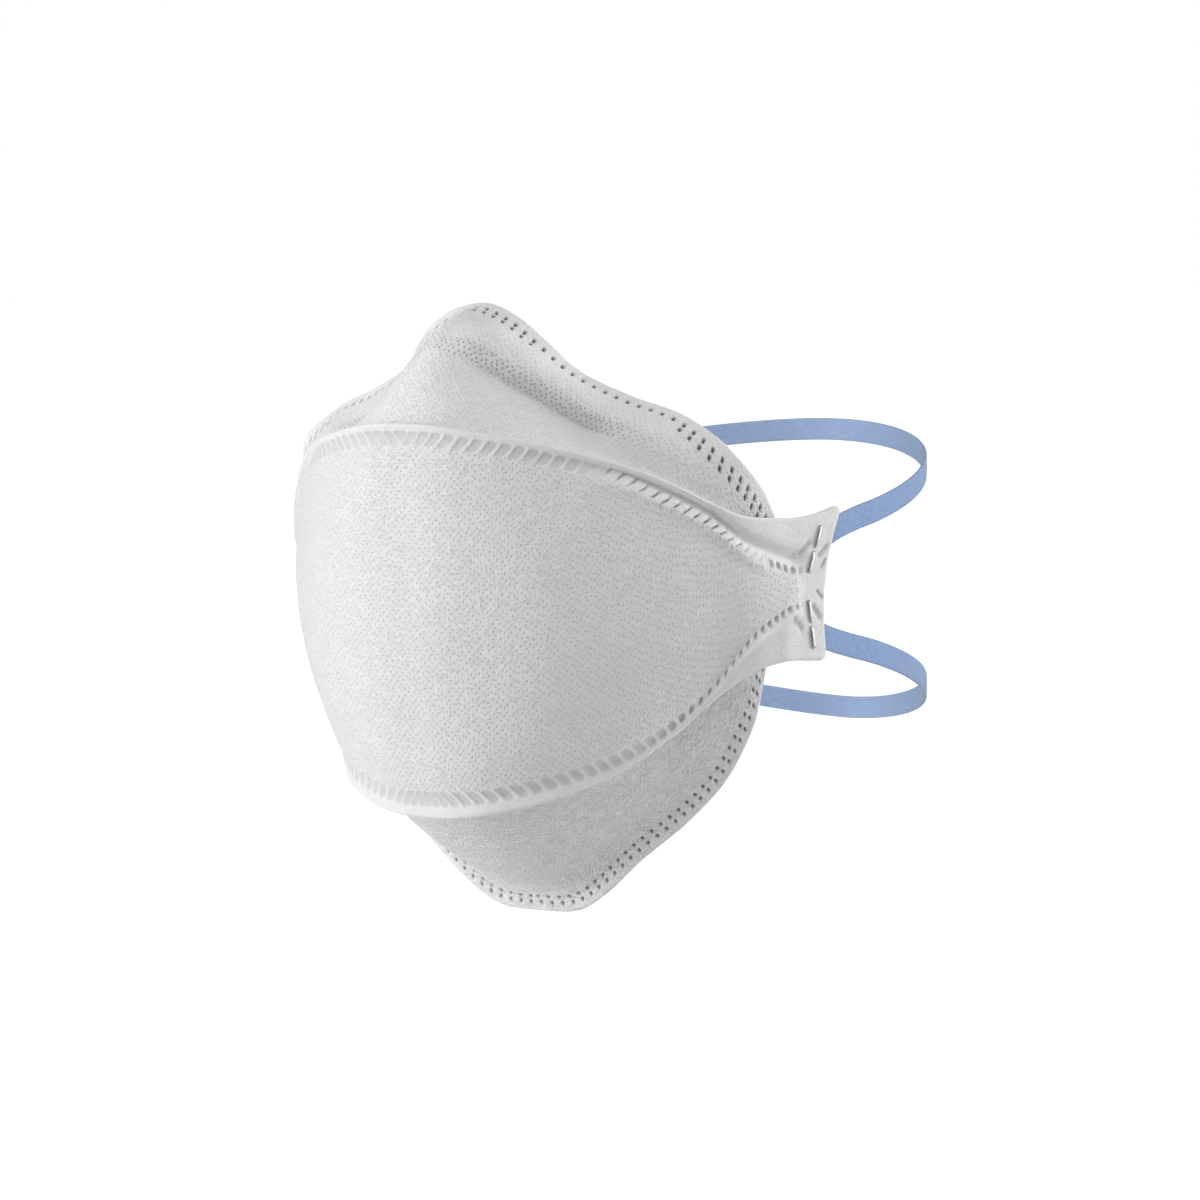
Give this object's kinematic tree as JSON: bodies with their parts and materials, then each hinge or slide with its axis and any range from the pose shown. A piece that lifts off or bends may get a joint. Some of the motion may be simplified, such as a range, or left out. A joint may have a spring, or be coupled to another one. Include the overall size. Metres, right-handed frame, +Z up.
{
  "type": "disposable respirator",
  "caption": "White flat-fold half-face filtering mask in folded-out worn form, with front, nose and chin panels, side tabs and blue elastic headbands.",
  "frame": {"origin": "on the face, in the middle plane between the nose edge and the chin edge, level with the middle of the side tabs", "axes": "+X to the wearer's left, +Y back towards the face and round the head, +Z up"},
  "size_m": [0.1504, 0.2085, 0.1466],
  "materials": {
    "panel_cloth": "matt white nonwoven with a fine pattern of bond dimples",
    "chin_cloth": "matt white nonwoven, fibrous",
    "elastic_band": "matt blue flat elastic",
    "staple_wire": "bare steel wire"
  },
  "bodies": {
    "root": {"front_panel": "panel_cloth", "top_panel": "panel_cloth", "bottom_panel": "chin_cloth", "upper_headband": "elastic_band", "lower_headband": "elastic_band", "upper_staple_left": "staple_wire", "upper_staple_right": "staple_wire", "lower_staple_left": "staple_wire", "lower_staple_right": "staple_wire"}
  },
  "joints": []
}
